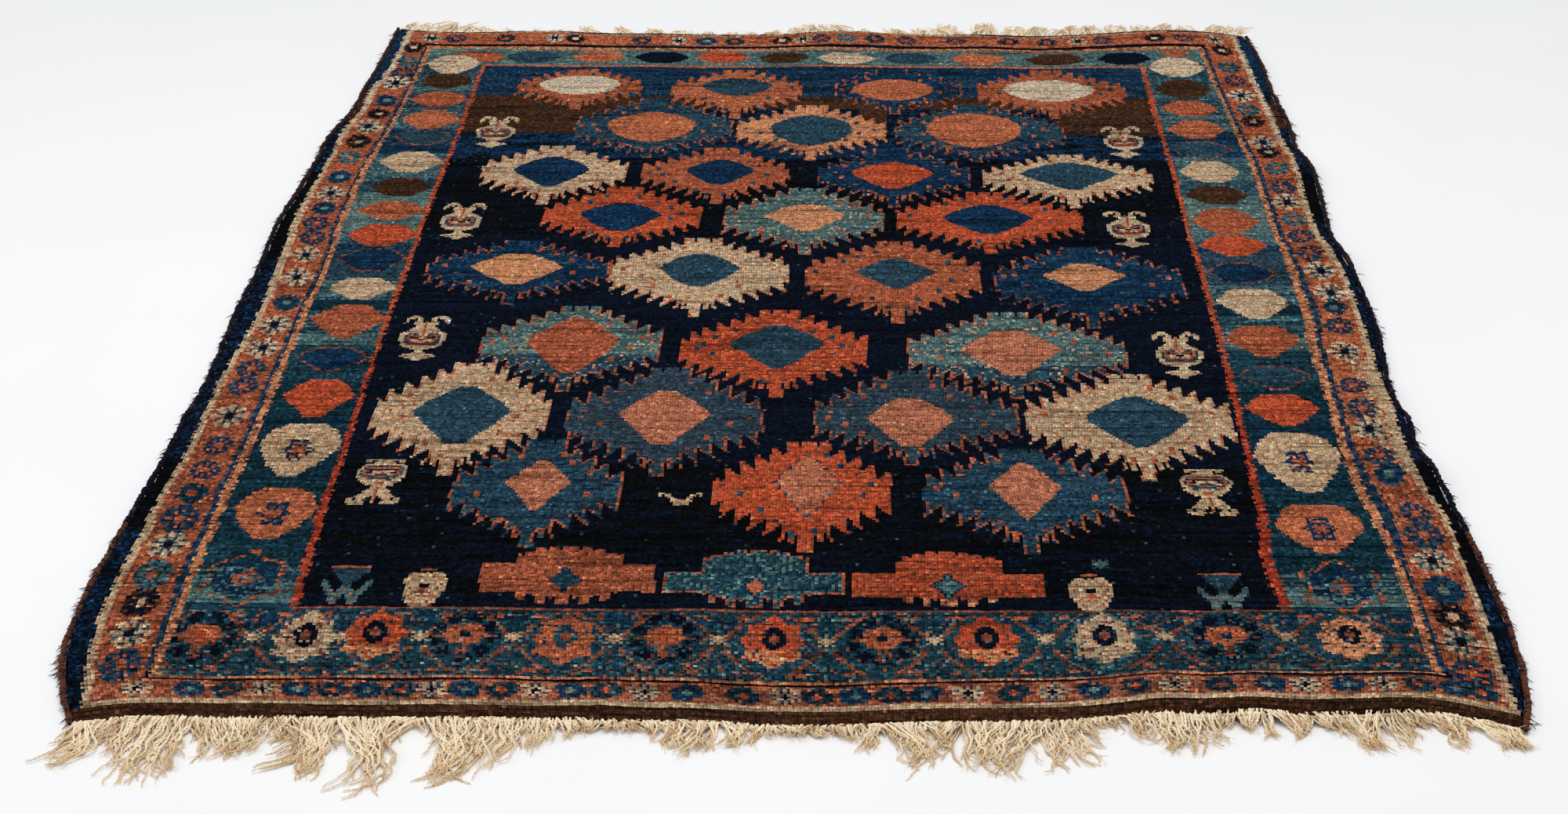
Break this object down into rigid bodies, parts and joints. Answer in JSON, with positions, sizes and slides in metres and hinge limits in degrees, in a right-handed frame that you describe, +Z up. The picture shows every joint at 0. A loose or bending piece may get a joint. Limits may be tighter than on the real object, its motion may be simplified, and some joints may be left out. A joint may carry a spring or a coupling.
{
  "type": "oriental rug",
  "caption": "Hand-knotted wool pile rug with overcast side cords and warp fringes, lying flat on a floor with gently rippled edges.",
  "frame": {"origin": "on the floor, at the middle of the whole rug's box, fringes included", "axes": "+Z up out of the pile, +Y along the rug's length away from the front fringe, +X across the rug"},
  "size_m": [1.465, 2.1482, 0.0205],
  "materials": {
    "pile": "knotted wool pile, matt, in deep blue, rust, teal and cream",
    "side_cord": "overcast wool yarn, matt, in lengths of brown, navy and black",
    "fringe": "undyed plied cotton warps, matt"
  },
  "bodies": {
    "root": {"rug_pile": "pile", "selvage_left": "side_cord", "selvage_right": "side_cord", "fringe_front": "fringe", "fringe_back": "fringe"}
  },
  "joints": []
}
